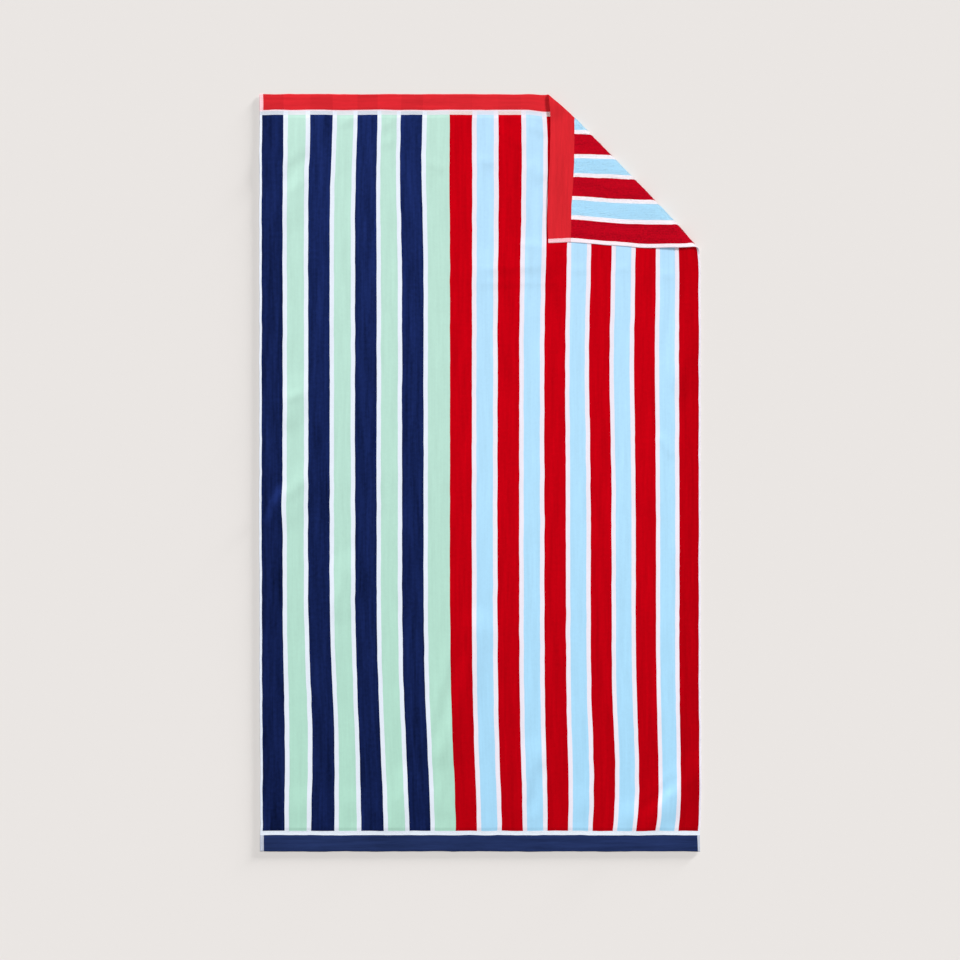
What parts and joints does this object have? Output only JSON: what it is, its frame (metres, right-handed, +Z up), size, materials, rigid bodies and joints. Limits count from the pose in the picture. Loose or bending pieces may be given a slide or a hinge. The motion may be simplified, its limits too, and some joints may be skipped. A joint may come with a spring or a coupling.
{
  "type": "beach towel",
  "caption": "Striped terry beach towel lying flat with one corner folded over, flat-woven hem bands at its ends.",
  "frame": {"origin": "middle of the underside, on the surface that the towel lies on", "axes": "+Y along the towel's length towards the end with the folded corner, +Z up off the surface"},
  "size_m": [1.0014, 1.716, 0.0238],
  "materials": {
    "terry": "sheared cotton pile, matt, in navy, mint, red, sky and white stripes"
  },
  "bodies": {
    "root": {"towel": "terry"}
  },
  "joints": []
}
